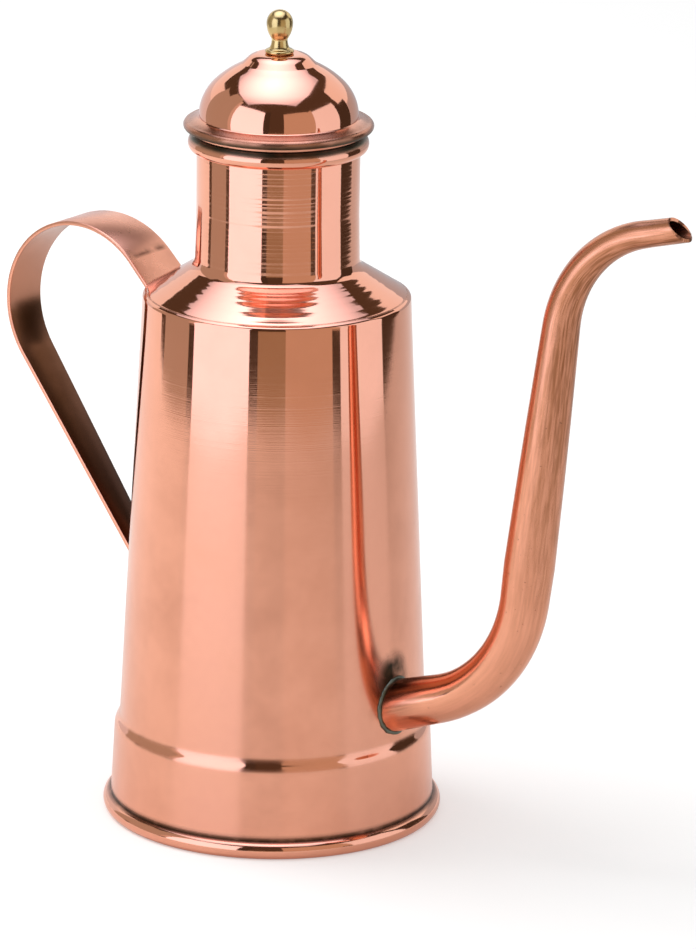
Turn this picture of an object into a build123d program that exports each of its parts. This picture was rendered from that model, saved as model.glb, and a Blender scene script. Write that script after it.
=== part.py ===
from build123d import *
from math import asin, atan, cos, degrees, hypot, radians, sin, tan
import os

os.makedirs("parts", exist_ok=True)

# An olive oil can of spun copper sheet. Its axis is Z, it stands on z = 0, the spout
# points along +X and the strap handle along -X. Sizes are in millimetres, angles in degrees.

# Sheet, laps and gaps
sheet = 1.0               # body, bottom, shoulder and neck
fit_gap = 0.05            # soldered laps, wires in their rolls, stud in its holes

# Body: a cone on a wider foot band, with a rolled foot round an iron wire
foot_r = 52.5             # outside of the foot roll
foot_roll_r = 2.75        # section of the roll
foot_wire_r = 1.7
foot_worn = 0.25          # depth to which standing has worn the roll flat
foot_roll_out = 2.4       # by which the roll stands out from the band
band_height = 27.2        # from the floor to the start of the step
band_lean = 1.1           # by which the band narrows over that height
step_rise = 3.2           # the step swaged into the wall above the band
step_depth = 1.6
step_round = 1.5
wall_lean = 6.5           # by which the wall narrows from the step to the rim
rim_z = 164.2             # fold between wall and shoulder

# Bottom: a pan pressed into the band until it sits on the foot roll
bottom_lip = 5.0
bottom_round = 1.8
solder_leg = 1.5          # fillets of solder inside and at the handle

# Shoulder and neck: one spinning, lapped inside the wall, rolled round a wire at the mouth
skirt_depth = 5.5
skirt_round = 1.2
shoulder_slope_angle = 31.8
neck_foot_r = 25.1
neck_lean = 0.3
neck_round = 3.6
neck_height = 37.8        # from the foot of the neck to the middle of the mouth roll
mouth_roll_r = 2.6
mouth_wire_r = 1.6

# Spout: a tapered tube, bent up, over, and cut slanting at the lip
spout_sheet = 0.9
spout_root_z = 41.9       # where its axis meets the wall
spout_rise = 19.0
spout_low_run = 42.7      # out from the wall to where the lines of root and stem would cross
spout_low_bend = 46.0
spout_lean = 83.0
spout_high_z = 197.5      # where the lines of stem and lip would cross
spout_high_bend = 38.3
spout_lip_rise = 15.0
spout_lip_run = 37.1      # out from that crossing to the middle of the slanting cut
spout_lip_cut = 42.0      # slope of the cut, downwards and outwards
spout_root_d = 16.0
spout_bend_d = 14.6
spout_knee_d = 15.4
spout_stem_d = 13.5
spout_throat_d = 10.5
spout_arch_d = 8.3
spout_lip_d = 7.7
spout_solder_width = 1.7
spout_solder_height = 1.5
spout_solder_lip = 0.15   # thickness of its outer edge

# Handle: a tapering strap, soldered to the wall under the rim and above the band
strap_sheet = 1.3
strap_top_width = 20.8
strap_foot_width = 9.4
strap_round = 0.5
loop_out = 28.4           # from the rim out to the middle of the loop's round part
loop_drop = 16.4          # from the rim down to it
loop_r = 29.6             # outside of the loop
strap_top_slope = 46.0
strap_foot_slope = 54.5
strap_top_tab = 8.0       # tabs that lie on the wall
strap_foot_tab = 11.0
strap_overrun = 3.0       # into the wall, before the ends are trimmed to it
strap_solder_share = 0.9  # of the strap's width

# Lid: a spun dome whose edge is hemmed round the flange of a collar
lid_sheet = 0.9
collar_sheet = 0.8
seat_gap = 0.25           # lid over mouth roll
collar_gap = 0.35         # collar inside mouth roll, all round
collar_depth = 11.5
seat_width = 3.1          # flat part of the collar's flange
hem_out = 1.7             # from the end of the seat out to the middle of the hem
hem_rise = 2.6            # middle of the hem above the seat
hem_return = 1.0
brim_width = 3.3          # from the middle of the hem in to the dome
dome_lift = 2.7           # foot of the dome above the middle of the hem
dome_rise = 18.4
dome_side_r = 14.5        # the dome's side is rounder than its crown
boss_r = 10.2
boss_height = 0.9
boss_edge_round = 1.0
boss_foot_round = 1.0

# Knob: turned brass, held by its stud, a washer and a nut
knob_foot_r = 4.1
knob_foot_height = 2.1
knob_foot_bulge = 0.25
knob_waist_r = 2.4
knob_waist_height = 3.75  # foot of the waist above the knob's seat
knob_waist_length = 0.9
knob_ball_r = 4.0
knob_height = 13.4
stud_r = 1.5
stud_end = 1.0            # stud showing under the nut
washer_r = 4.6
washer_sheet = 0.8
nut_flats = 5.5
nut_height = 2.4

# Heights and slopes that follow from these
foot_roll_x = foot_r - foot_roll_r
foot_roll_z = foot_roll_r - foot_worn
band_foot_r = foot_r - foot_roll_out
band_top_r = band_foot_r - band_lean
wall_foot_r = band_top_r - step_depth
rim_r = wall_foot_r - wall_lean
step_z = band_height + step_rise
band_taper = (band_foot_r - band_top_r) / (band_height - foot_roll_z)
wall_taper = (wall_foot_r - rim_r) / (rim_z - step_z)
shoulder_slope = tan(radians(shoulder_slope_angle))
neck_foot_z = rim_z + (rim_r - neck_foot_r) * shoulder_slope
neck_r = neck_foot_r - neck_lean
mouth_z = neck_foot_z + neck_height
mouth_x = neck_r + fit_gap
mouth_bore_r = mouth_x - mouth_roll_r
collar_r = mouth_bore_r - collar_gap
seat_end_r = collar_r + seat_width + collar_sheet
hem_x = seat_end_r + hem_out
dome_r = hem_x - brim_width
seat_z = mouth_z + mouth_roll_r + seat_gap
hem_z = seat_z + hem_rise
dome_z = hem_z + dome_lift
dome_top_z = dome_z + dome_rise


def wall_r(z):
    """Outside radius of the conical wall at height z."""
    return rim_r + (rim_z - z) * wall_taper


def wall_inside_r(z):
    """Inside radius of the conical wall at height z."""
    return wall_r(z) - sheet * hypot(1, wall_taper)


def band_inside_r(z):
    """Inside radius of the foot band at height z."""
    return band_foot_r - (z - foot_roll_z) * band_taper - sheet * hypot(1, band_taper)


def upright(azimuth):
    """Half plane through the axis: its x runs outwards at the azimuth, its y runs up."""
    turn = radians(azimuth)
    return Plane(origin=(0, 0, 0), x_dir=(cos(turn), sin(turn), 0), z_dir=(sin(turn), -cos(turn), 0))


def save(piece, name):
    """Label a finished piece and write it."""
    piece.part.label = name
    export_step(piece.part, f"parts/{name}.step")


# The space inside the can's outer surface, which trims what is soldered to the wall
with BuildPart() as can_space:
    with BuildSketch(Plane.XZ):
        with BuildLine():
            Polyline(
                (0, 0),
                (band_foot_r, foot_roll_z),
                (band_top_r, band_height),
                (wall_foot_r, step_z),
                (rim_r, rim_z),
                (neck_foot_r, neck_foot_z),
                (0, neck_foot_z),
                close=True,
            )
        make_face()
    revolve(axis=Axis.Z)

# Spout axis: root line, bend, leaning stem, bend, lip line
spout_rise_slope = tan(radians(spout_rise))
spout_lean_slope = tan(radians(spout_lean))
spout_root_x = wall_r(spout_root_z)
spout_low_x = spout_root_x + spout_low_run
spout_low_z = spout_root_z + spout_low_run * spout_rise_slope
spout_high_x = spout_low_x + (spout_high_z - spout_low_z) / spout_lean_slope
spout_lip_x = spout_high_x + spout_lip_run
spout_lip_z = spout_high_z + spout_lip_run * tan(radians(spout_lip_rise))
spout_start_x = spout_root_x - spout_root_d / 2
spout_start_z = spout_root_z - (spout_root_x - spout_start_x) * spout_rise_slope
spout_end_x = spout_lip_x + spout_lip_d * cos(radians(spout_lip_rise))
spout_end_z = spout_lip_z + spout_lip_d * sin(radians(spout_lip_rise))
with BuildLine(Plane.XZ) as spout_axis:
    FilletPolyline(
        (spout_start_x, spout_start_z),
        (spout_low_x, spout_low_z),
        (spout_high_x, spout_high_z),
        (spout_end_x, spout_end_z),
        radius=[spout_low_bend, spout_high_bend],
    )
spout_line = spout_axis.wire()
spout_low_turn = radians(spout_lean - spout_rise)
spout_high_turn = radians(spout_lean - spout_lip_rise)
root_straight = (
    hypot(spout_low_x - spout_start_x, spout_low_z - spout_start_z)
    - spout_low_bend * tan(spout_low_turn / 2)
)
low_bend_length = spout_low_bend * spout_low_turn
stem_straight = (
    hypot(spout_high_x - spout_low_x, spout_high_z - spout_low_z)
    - spout_low_bend * tan(spout_low_turn / 2)
    - spout_high_bend * tan(spout_high_turn / 2)
)
high_bend_length = spout_high_bend * spout_high_turn
low_bend_end = root_straight + low_bend_length
stem_end = low_bend_end + stem_straight
# Distance along the axis, and the tube's outside diameter there
spout_stations = [
    (0, spout_root_d),
    (root_straight, spout_bend_d),
    (root_straight + low_bend_length / 2, spout_bend_d),
    (low_bend_end, spout_knee_d),
    (low_bend_end + stem_straight / 2, spout_stem_d),
    (stem_end, spout_throat_d),
    (stem_end + high_bend_length / 2, spout_arch_d),
    (spout_line.length, spout_lip_d),
]


def spout_rings(less):
    """Circles across the spout's axis, smaller than its outside by less all round."""
    rings = []
    for distance, diameter in spout_stations:
        share = distance / spout_line.length
        ring_plane = Plane(origin=spout_line @ share, x_dir=(0, 1, 0), z_dir=spout_line % share)
        with BuildSketch(ring_plane) as ring:
            Circle(diameter / 2 - less)
        rings.append(ring.sketch)
    return rings


# Bore of the spout through the wall
spout_bore_start = Plane(
    origin=(spout_start_x, 0, spout_start_z),
    x_dir=(0, 1, 0),
    z_dir=(cos(radians(spout_rise)), 0, sin(radians(spout_rise))),
)
with BuildPart() as spout_hole:
    with BuildSketch(spout_bore_start):
        Circle(spout_root_d / 2 - spout_sheet)
    extrude(amount=spout_root_d)

# Body wall: foot roll, band, step and cone in one sheet
with BuildPart() as body_wall:
    with BuildSketch(Plane.XZ):
        with BuildLine():
            FilletPolyline(
                (band_foot_r, foot_roll_z),
                (band_top_r, band_height),
                (wall_foot_r, step_z),
                (wall_r(rim_z + sheet), rim_z + sheet),
                radius=step_round,
            )
            offset(amount=sheet, side=Side.LEFT)
        make_face()
        with Locations((foot_roll_x, foot_roll_z)):
            Circle(foot_roll_r)
            Circle(foot_wire_r + fit_gap, mode=Mode.SUBTRACT)
        with Locations((foot_roll_x, 0)):
            Rectangle(3 * foot_roll_r, foot_roll_r, align=(Align.CENTER, Align.MAX), mode=Mode.SUBTRACT)
        with BuildLine():
            Polyline(
                (rim_r + sheet, rim_z - sheet * shoulder_slope),
                (rim_r - 3 * sheet, rim_z + 3 * sheet * shoulder_slope),
                (rim_r - 3 * sheet, rim_z + 4 * sheet),
                (rim_r + sheet, rim_z + 4 * sheet),
                close=True,
            )
        make_face(mode=Mode.SUBTRACT)
    revolve(axis=Axis.Z)
    add(spout_hole.part, mode=Mode.SUBTRACT)
save(body_wall, "body_wall")

# Iron wire inside the foot roll
with BuildPart() as foot_wire:
    with BuildSketch(Plane.XZ):
        with Locations((foot_roll_x, foot_roll_z)):
            Circle(foot_wire_r)
    revolve(axis=Axis.Z)
save(foot_wire, "foot_wire")

# Bottom: a pan with its lip turned up inside the band, standing on the foot roll
bottom_z = foot_roll_z + foot_roll_r + fit_gap
lip_top_z = bottom_z + sheet + bottom_lip
with BuildPart() as bottom_disc:
    with BuildSketch(Plane.XZ):
        with BuildLine():
            FilletPolyline(
                (band_inside_r(lip_top_z) - fit_gap, lip_top_z),
                (band_inside_r(bottom_z) - fit_gap, bottom_z),
                (0, bottom_z),
                radius=bottom_round,
            )
            offset(amount=sheet, side=Side.RIGHT)
        make_face()
    revolve(axis=Axis.Z)
save(bottom_disc, "bottom_disc")

# Solder run round the top of the lip, inside
with BuildPart() as bottom_solder:
    with BuildSketch(Plane.XZ):
        with BuildLine():
            Polyline(
                (band_inside_r(lip_top_z) - fit_gap, lip_top_z),
                (band_inside_r(lip_top_z) - fit_gap - sheet, lip_top_z),
                (band_inside_r(lip_top_z + solder_leg) - fit_gap, lip_top_z + solder_leg),
                close=True,
            )
        make_face()
    revolve(axis=Axis.Z)
save(bottom_solder, "bottom_solder")

# Shoulder and neck: skirt inside the wall, cone, neck tube and mouth roll
skirt_low_z = rim_z - skirt_depth
rim_edge = (rim_r - wall_inside_r(rim_z)) / (1 - wall_taper * shoulder_slope)
lap = rim_edge + fit_gap / (1 - wall_taper * shoulder_slope)
corner_r = rim_r - lap
corner_z = rim_z + lap * shoulder_slope
with BuildPart() as shoulder_neck:
    with BuildSketch(Plane.XZ):
        with BuildLine():
            FilletPolyline(
                (wall_inside_r(skirt_low_z) - fit_gap, skirt_low_z),
                (corner_r, corner_z),
                (neck_foot_r, neck_foot_z),
                (neck_r, mouth_z),
                radius=[skirt_round, neck_round],
            )
            offset(amount=sheet, side=Side.LEFT)
        make_face()
        with Locations((mouth_x, mouth_z)):
            Circle(mouth_roll_r)
            Circle(mouth_wire_r + fit_gap, mode=Mode.SUBTRACT)
    revolve(axis=Axis.Z)
save(shoulder_neck, "shoulder_neck")

# Solder that fills the fold between wall and shoulder
shoulder_tilt = atan(shoulder_slope)
wall_tilt = atan(wall_taper)
fold_reach = skirt_round * tan((radians(90) - shoulder_tilt - wall_tilt) / 2)
fold_top = (corner_r - fold_reach * cos(shoulder_tilt), corner_z + fold_reach * sin(shoulder_tilt))
fold_low = (corner_r + fold_reach * sin(wall_tilt), corner_z - fold_reach * cos(wall_tilt))
with BuildPart() as shoulder_solder:
    with BuildSketch(Plane.XZ):
        with BuildLine():
            RadiusArc(fold_top, fold_low, skirt_round)
            Line(fold_low, (wall_inside_r(fold_low[1]), fold_low[1]))
            Line(
                (wall_inside_r(fold_low[1]), fold_low[1]),
                (rim_r - rim_edge, rim_z + rim_edge * shoulder_slope),
            )
            Line((rim_r - rim_edge, rim_z + rim_edge * shoulder_slope), fold_top)
        make_face()
    revolve(axis=Axis.Z)
save(shoulder_solder, "shoulder_solder")

# Wire inside the mouth roll
with BuildPart() as mouth_wire:
    with BuildSketch(Plane.XZ):
        with Locations((mouth_x, mouth_z)):
            Circle(mouth_wire_r)
    revolve(axis=Axis.Z)
save(mouth_wire, "mouth_wire")

# Spout tube: tapered sweep with its bore, coped to the wall and cut slanting at the lip
lip_cut = radians(spout_lip_cut)
lip_plane = Plane(
    origin=(spout_lip_x, 0, spout_lip_z),
    x_dir=(0, 1, 0),
    z_dir=(sin(lip_cut), 0, cos(lip_cut)),
)
with BuildPart() as spout_core:
    sweep(sections=spout_rings(0), path=spout_line, multisection=True)
with BuildPart() as spout_tube:
    add(spout_core.part)
    sweep(sections=spout_rings(spout_sheet), path=spout_line, multisection=True, mode=Mode.SUBTRACT)
    split(bisect_by=lip_plane, keep=Keep.BOTTOM)
    add(can_space.part, mode=Mode.SUBTRACT)
save(spout_tube, "spout_tube")

# Solder bead round the root of the spout, from the wall up on to the tube
wall_normal = Vector(cos(wall_tilt), 0, sin(wall_tilt))
root_point = Vector(spout_root_x, 0, spout_root_z)
root_way = Vector(cos(radians(spout_rise)), 0, sin(radians(spout_rise)))
bead_top = root_point + root_way * spout_solder_height
bead_foot = root_point - root_way * spout_solder_height
with BuildPart() as spout_solder:
    with BuildSketch(Plane(origin=bead_foot, x_dir=(0, 1, 0), z_dir=wall_normal)):
        Circle(spout_root_d / 2 + 2 * spout_solder_width)
    with BuildSketch(Plane(origin=bead_top, x_dir=(0, 1, 0), z_dir=wall_normal)):
        Circle(spout_root_d / 2 / cos(radians(spout_rise) - wall_tilt) + spout_solder_lip)
    loft()
    add(can_space.part, mode=Mode.SUBTRACT)
    add(spout_core.part, mode=Mode.SUBTRACT)
save(spout_solder, "spout_solder")

# Handle: the strap's middle line is a straight, an arc and a straight, in the plane of the spout
loop_x = -rim_r - loop_out
loop_z = rim_z - loop_drop
strap_line_r = loop_r - strap_sheet / 2
arc_start = 90 - strap_top_slope
arc_end = 270 - strap_foot_slope
top_way = (sin(radians(arc_start)), -cos(radians(arc_start)))
foot_way = (-sin(radians(arc_end)), cos(radians(arc_end)))
arc_start_x = loop_x + strap_line_r * cos(radians(arc_start))
arc_start_z = loop_z + strap_line_r * sin(radians(arc_start))
arc_end_x = loop_x + strap_line_r * cos(radians(arc_end))
arc_end_z = loop_z + strap_line_r * sin(radians(arc_end))


def reach_wall(x, z, way):
    """Distance along way from a point, in the plane of the strap, to the wall at -X."""
    return (-wall_r(z) - x) / (way[0] - wall_taper * way[1])


top_reach = reach_wall(arc_start_x, arc_start_z, top_way)
foot_reach = reach_wall(arc_end_x, arc_end_z, foot_way)
top_joint_z = arc_start_z + top_way[1] * top_reach
foot_joint_z = arc_end_z + foot_way[1] * foot_reach
strap_start_x = arc_start_x + top_way[0] * (top_reach + strap_overrun)
strap_start_z = arc_start_z + top_way[1] * (top_reach + strap_overrun)
strap_stop_x = arc_end_x + foot_way[0] * (foot_reach + strap_overrun)
strap_stop_z = arc_end_z + foot_way[1] * (foot_reach + strap_overrun)
with BuildLine(Plane.XZ) as strap_axis:
    Line((strap_start_x, strap_start_z), (arc_start_x, arc_start_z))
    CenterArc((loop_x, loop_z), strap_line_r, arc_start, arc_end - arc_start)
    Line((arc_end_x, arc_end_z), (strap_stop_x, strap_stop_z))
strap_line = strap_axis.wire()


def strap_section(share, width):
    """Rounded rectangle across the strap at a share of its length."""
    section_plane = Plane(origin=strap_line @ share, x_dir=(0, 1, 0), z_dir=strap_line % share)
    with BuildSketch(section_plane) as section:
        RectangleRounded(width, strap_sheet, strap_round)
    return section.sketch


def wall_arc(width, z):
    """Half the angle that a width covers on the wall at height z."""
    return degrees(asin(width / 2 / wall_r(z)))


def wall_tab(joint_z, length, width):
    """Tab of the strap, hammered to the wall below its joint."""
    half = wall_arc(width, joint_z)
    with BuildPart() as tab:
        with BuildSketch(upright(180 - half)):
            with BuildLine():
                Polyline(
                    (wall_r(joint_z) + fit_gap, joint_z),
                    (wall_r(joint_z) + strap_sheet, joint_z),
                    (wall_r(joint_z - length) + strap_sheet, joint_z - length),
                    (wall_r(joint_z - length) + fit_gap, joint_z - length),
                    close=True,
                )
            make_face()
        revolve(axis=Axis.Z, revolution_arc=2 * half)
    return tab.part


top_tab = wall_tab(top_joint_z, strap_top_tab, strap_top_width)
foot_tab = wall_tab(foot_joint_z, strap_foot_tab, strap_foot_width)
with BuildPart() as handle_strap:
    sweep(
        sections=[strap_section(0, strap_top_width), strap_section(1, strap_foot_width)],
        path=strap_line,
        multisection=True,
    )
    add(can_space.part, mode=Mode.SUBTRACT)
    add(top_tab)
    add(foot_tab)
save(handle_strap, "handle_strap")


# Solder in the corner above each joint of the strap
def corner_solder(joint_z, way, width):
    """Fillet of solder on the wall above the strap, a little narrower than the strap."""
    low = joint_z + strap_sheet / 2 / cos(atan(way[1] / way[0]))
    half = wall_arc(strap_solder_share * width, low)
    out_x = -way[0] * solder_leg
    out_z = -way[1] * solder_leg
    with BuildPart() as bead:
        with BuildSketch(upright(180 - half)):
            with BuildLine():
                Polyline(
                    (wall_r(joint_z) + fit_gap, joint_z),
                    (wall_r(low + solder_leg) + fit_gap, low + solder_leg),
                    (wall_r(low) - out_x, low + out_z),
                    (wall_r(joint_z) - out_x, joint_z + out_z),
                    close=True,
                )
            make_face()
        revolve(axis=Axis.Z, revolution_arc=2 * half)
        add(handle_strap.part, mode=Mode.SUBTRACT)
    return bead


handle_top_solder = corner_solder(top_joint_z, top_way, strap_top_width)
save(handle_top_solder, "handle_top_solder")
handle_foot_solder = corner_solder(foot_joint_z, foot_way, strap_foot_width)
save(handle_foot_solder, "handle_foot_solder")

# Lid dome: crown, boss, flange and hem in one spinning
hem_r = (2 * lid_sheet + collar_sheet + 2 * fit_gap) / 2
side_x = dome_r - dome_side_r
crown_r = (side_x**2 + dome_rise**2 - dome_side_r**2) / (2 * (dome_rise - dome_side_r))
crown_z = dome_top_z - crown_r
side_angle = degrees(atan((dome_z - crown_z) / side_x))


def dome_half(less, foot_z):
    """Half section of the dome, smaller by less all round, down to foot_z."""
    with BuildSketch(Plane.XZ) as half:
        with BuildLine():
            side = CenterArc((side_x, dome_z), dome_side_r - less, 0, side_angle)
            crown = CenterArc((0, crown_z), crown_r - less, side_angle, 90 - side_angle)
            Line(crown @ 1, (0, foot_z))
            Line((0, foot_z), (dome_r - less, foot_z))
            Line((dome_r - less, foot_z), side @ 0)
        make_face()
    return half.sketch


boss_top_z = dome_top_z + boss_height
boss_low_z = crown_z + (crown_r**2 - boss_r**2) ** 0.5 - lid_sheet
flange_z = hem_z + hem_r - lid_sheet
flange_slope = (dome_z - hem_z - hem_r) / (hem_x - dome_r)
dome_outside = dome_half(0, flange_z)
dome_inside = dome_half(lid_sheet, flange_z - lid_sheet)
with BuildPart() as lid_dome:
    revolve(dome_outside, axis=Axis.Z)
    with BuildSketch(Plane.XZ):
        with Locations((0, boss_low_z)):
            Rectangle(boss_r, boss_top_z - boss_low_z, align=(Align.MIN, Align.MIN))
        with BuildLine():
            Polyline(
                (dome_r - lid_sheet, dome_z),
                (dome_r, dome_z),
                (hem_x, hem_z + hem_r),
                (hem_x, flange_z),
                (dome_r - lid_sheet, flange_z),
                close=True,
            )
        make_face()
        with BuildLine():
            hem_roll = CenterArc((hem_x, hem_z), hem_r, -90, 180)
            Line(hem_roll @ 1, hem_roll @ 0)
        make_face()
        with Locations((hem_x, hem_z - hem_r)):
            Rectangle(hem_return, lid_sheet, align=(Align.MAX, Align.MIN))
    revolve(axis=Axis.Z)
    boss_rim = lid_dome.edges().filter_by(GeomType.CIRCLE).group_by(Axis.Z)[-1]
    fillet(boss_rim.sort_by(SortBy.RADIUS)[-1], boss_edge_round)
    boss_foot = (
        lid_dome.edges()
        .filter_by(GeomType.CIRCLE)
        .filter_by(lambda edge: abs(edge.radius - boss_r) < fit_gap)
        .sort_by(Axis.Z)[0]
    )
    fillet(boss_foot, boss_foot_round)
    revolve(dome_inside, axis=Axis.Z, mode=Mode.SUBTRACT)
    with BuildSketch(Plane.XZ):
        with Locations((0, boss_low_z)):
            Rectangle(
                boss_r - lid_sheet,
                boss_top_z - lid_sheet - boss_low_z,
                align=(Align.MIN, Align.MIN),
            )
        with Locations((0, hem_z)):
            Rectangle(hem_x, collar_sheet + 2 * fit_gap, align=(Align.MIN, Align.CENTER))
        with BuildLine():
            Polyline(
                (dome_r - lid_sheet, flange_z),
                (dome_r - lid_sheet, dome_z + lid_sheet * (flange_slope - hypot(1, flange_slope))),
                (hem_x, flange_z),
                close=True,
            )
        make_face()
    revolve(axis=Axis.Z, mode=Mode.SUBTRACT)
    with BuildSketch(Plane.XY.offset(boss_low_z)):
        Circle(stud_r + fit_gap)
    extrude(amount=boss_top_z - boss_low_z, mode=Mode.SUBTRACT)
save(lid_dome, "lid_dome")

# Lid collar: the plug that goes into the neck, and the flange that the hem holds
flange_low_z = hem_z - collar_sheet / 2
with BuildPart() as lid_collar:
    with BuildSketch(Plane.XZ):
        with BuildLine():
            FilletPolyline(
                (collar_r, seat_z - collar_depth),
                (collar_r, seat_z),
                (seat_end_r, seat_z),
                (hem_x - hem_return - collar_sheet / 2, flange_low_z),
                (hem_x - fit_gap, flange_low_z),
                radius=collar_sheet / 2,
            )
            offset(amount=collar_sheet, side=Side.LEFT)
        make_face()
    revolve(axis=Axis.Z)
save(lid_collar, "lid_collar")

# Lid knob: foot, cove, waist and ball, with a stud through the boss
knob_top_z = boss_top_z + knob_height
ball_z = knob_top_z - knob_ball_r
foot_top_z = boss_top_z + knob_foot_height
waist_z = boss_top_z + knob_waist_height
cove_r = waist_z - foot_top_z
stud_low_z = boss_top_z - lid_sheet - washer_sheet - nut_height - stud_end
with BuildPart() as lid_knob:
    with BuildSketch(Plane.XZ):
        with BuildLine():
            Line((0, stud_low_z), (stud_r, stud_low_z))
            Line((stud_r, stud_low_z), (stud_r, boss_top_z))
            Line((stud_r, boss_top_z), (knob_foot_r, boss_top_z))
            ThreePointArc(
                (knob_foot_r, boss_top_z),
                (knob_foot_r + knob_foot_bulge, boss_top_z + knob_foot_height / 2),
                (knob_foot_r, foot_top_z),
            )
            Line((knob_foot_r, foot_top_z), (knob_waist_r + cove_r, foot_top_z))
            CenterArc((knob_waist_r + cove_r, waist_z), cove_r, 180, 90)
            Line((knob_waist_r, waist_z), (knob_waist_r, waist_z + knob_waist_length))
            TangentArc((knob_ball_r, ball_z), (knob_waist_r, waist_z + knob_waist_length), tangent=(0, -1))
            ball = CenterArc((0, ball_z), knob_ball_r, 0, 90)
            Line(ball @ 1, (0, stud_low_z))
        make_face()
    revolve(axis=Axis.Z)
save(lid_knob, "lid_knob")

# Washer and nut inside the dome
with BuildPart() as knob_washer:
    with BuildSketch(Plane.XY.offset(boss_top_z - lid_sheet - washer_sheet)):
        Circle(washer_r)
        Circle(stud_r + fit_gap, mode=Mode.SUBTRACT)
    extrude(amount=washer_sheet)
save(knob_washer, "knob_washer")

with BuildPart() as knob_nut:
    with BuildSketch(Plane.XY.offset(boss_top_z - lid_sheet - washer_sheet - nut_height)):
        RegularPolygon(nut_flats / 2, 6, major_radius=False)
        Circle(stud_r + fit_gap, mode=Mode.SUBTRACT)
    extrude(amount=nut_height)
save(knob_nut, "knob_nut")
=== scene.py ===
import math

import bpy
from mathutils import Matrix, Vector


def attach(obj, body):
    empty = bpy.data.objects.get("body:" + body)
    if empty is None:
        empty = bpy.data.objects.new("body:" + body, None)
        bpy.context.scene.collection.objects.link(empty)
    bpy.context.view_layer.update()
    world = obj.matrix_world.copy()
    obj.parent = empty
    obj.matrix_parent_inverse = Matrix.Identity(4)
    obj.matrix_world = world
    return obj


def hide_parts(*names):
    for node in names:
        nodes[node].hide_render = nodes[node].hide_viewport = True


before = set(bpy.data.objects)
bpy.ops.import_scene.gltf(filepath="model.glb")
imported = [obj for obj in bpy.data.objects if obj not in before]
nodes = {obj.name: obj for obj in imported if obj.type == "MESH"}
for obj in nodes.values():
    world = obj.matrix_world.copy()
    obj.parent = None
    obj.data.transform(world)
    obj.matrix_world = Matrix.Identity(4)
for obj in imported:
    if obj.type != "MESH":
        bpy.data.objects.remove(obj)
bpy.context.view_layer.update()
MM = 0.001


# Body wall: one sheet of copper, rolled to a cone and seamed, swaged in above a foot band,
# and rolled round an iron wire at the foot. It is polished bright at the top and duller low down.
def rounded(corners, spacing=1.2):
    """Points, in mm, along straight runs through corners (radius, height, rounding)."""
    points = [Vector(corners[0][:2])]
    for before, corner, after in zip(corners, corners[1:], corners[2:]):
        here = Vector(corner[:2])
        back = (Vector(before[:2]) - here).normalized()
        on = (Vector(after[:2]) - here).normalized()
        turn = math.pi - back.angle(on)
        if corner[2] <= 0 or turn < 0.001:
            run_to(points, here, spacing)
            continue
        reach = corner[2] * math.tan(turn / 2)
        centre = here + (back + on).normalized() * corner[2] / math.cos(turn / 2)
        run_to(points, here + back * reach, spacing)
        first = here + back * reach - centre
        sweep = first.angle_signed(here + on * reach - centre)
        count = max(2, math.ceil(turn / math.radians(7)))
        for step in range(1, count + 1):
            arm = first.copy()
            angle = -sweep * step / count
            points.append(centre + Vector((
                arm.x * math.cos(angle) - arm.y * math.sin(angle),
                arm.x * math.sin(angle) + arm.y * math.cos(angle),
            )))
    run_to(points, Vector(corners[-1][:2]), spacing)
    return points


def run_to(points, end, spacing):
    """Adds a straight run to end, in pieces no longer than spacing."""
    start = points[-1]
    count = max(1, math.ceil((end - start).length / spacing))
    for step in range(1, count + 1):
        points.append(start.lerp(end, step / count))


def arc(radius, height, size, start, end, step=9):
    """Points, in mm, on an arc of a given size about (radius, height), in degrees."""
    count = max(2, math.ceil(abs(end - start) / step))
    angles = [math.radians(start + (end - start) * i / count) for i in range(count + 1)]
    return [Vector((radius + size * math.cos(a), height + size * math.sin(a))) for a in angles]


def spun(name, outline, steps=224, crease=35):
    """A turned or spun piece: its half section drawn point by point, then spun round the axis."""
    bpy.ops.object.select_all(action="DESELECT")
    first = outline[0] * MM
    bpy.ops.mesh.primitive_plane_add(size=MM, location=(first.x, 0, first.y))
    piece = bpy.context.object
    piece.name = name
    bpy.ops.object.transform_apply(location=True)
    bpy.ops.object.mode_set(mode="EDIT")
    bpy.ops.mesh.select_mode(type="VERT")
    bpy.ops.mesh.merge(type="CENTER")
    for here, there in zip(outline, outline[1:]):
        move = (there - here) * MM
        bpy.ops.mesh.extrude_region_move(TRANSFORM_OT_translate={"value": (move.x, 0, move.y)})
    bpy.ops.mesh.select_all(action="SELECT")
    bpy.ops.mesh.spin(steps=steps, angle=math.tau, center=(0, 0, 0), axis=(0, 0, 1))
    bpy.ops.mesh.select_all(action="SELECT")
    bpy.ops.mesh.remove_doubles(threshold=0.002 * MM)
    bpy.ops.mesh.normals_make_consistent(inside=False)
    bpy.ops.object.mode_set(mode="OBJECT")
    bpy.ops.object.transform_apply(location=True, rotation=True, scale=True)
    bpy.ops.object.shade_smooth_by_angle(angle=math.radians(crease))
    return piece


def shell(name, outside, inside, steps=224, crease=35):
    """A spun sheet: the outside line and back along the inside line, closed."""
    return spun(name, outside + list(reversed(inside)) + [outside[0]], steps, crease)


sheet = 1.0
foot_r = 52.5
foot_roll_r = 2.75
foot_x = foot_r - foot_roll_r
foot_z = 2.5
worn_turn = 64
fold_r = 40.9
fold_z = 164.2
swage_z = 30.4
wall_taper = (47.4 - fold_r) / (fold_z - swage_z)
swage_round = 4.3
band_top_r = 48.97
band_top_z = 27.8
band_foot_r = 50.1


def wall_r(z):
    """Outside radius of the conical wall at height z, in mm."""
    return fold_r + (fold_z - z) * wall_taper


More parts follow.
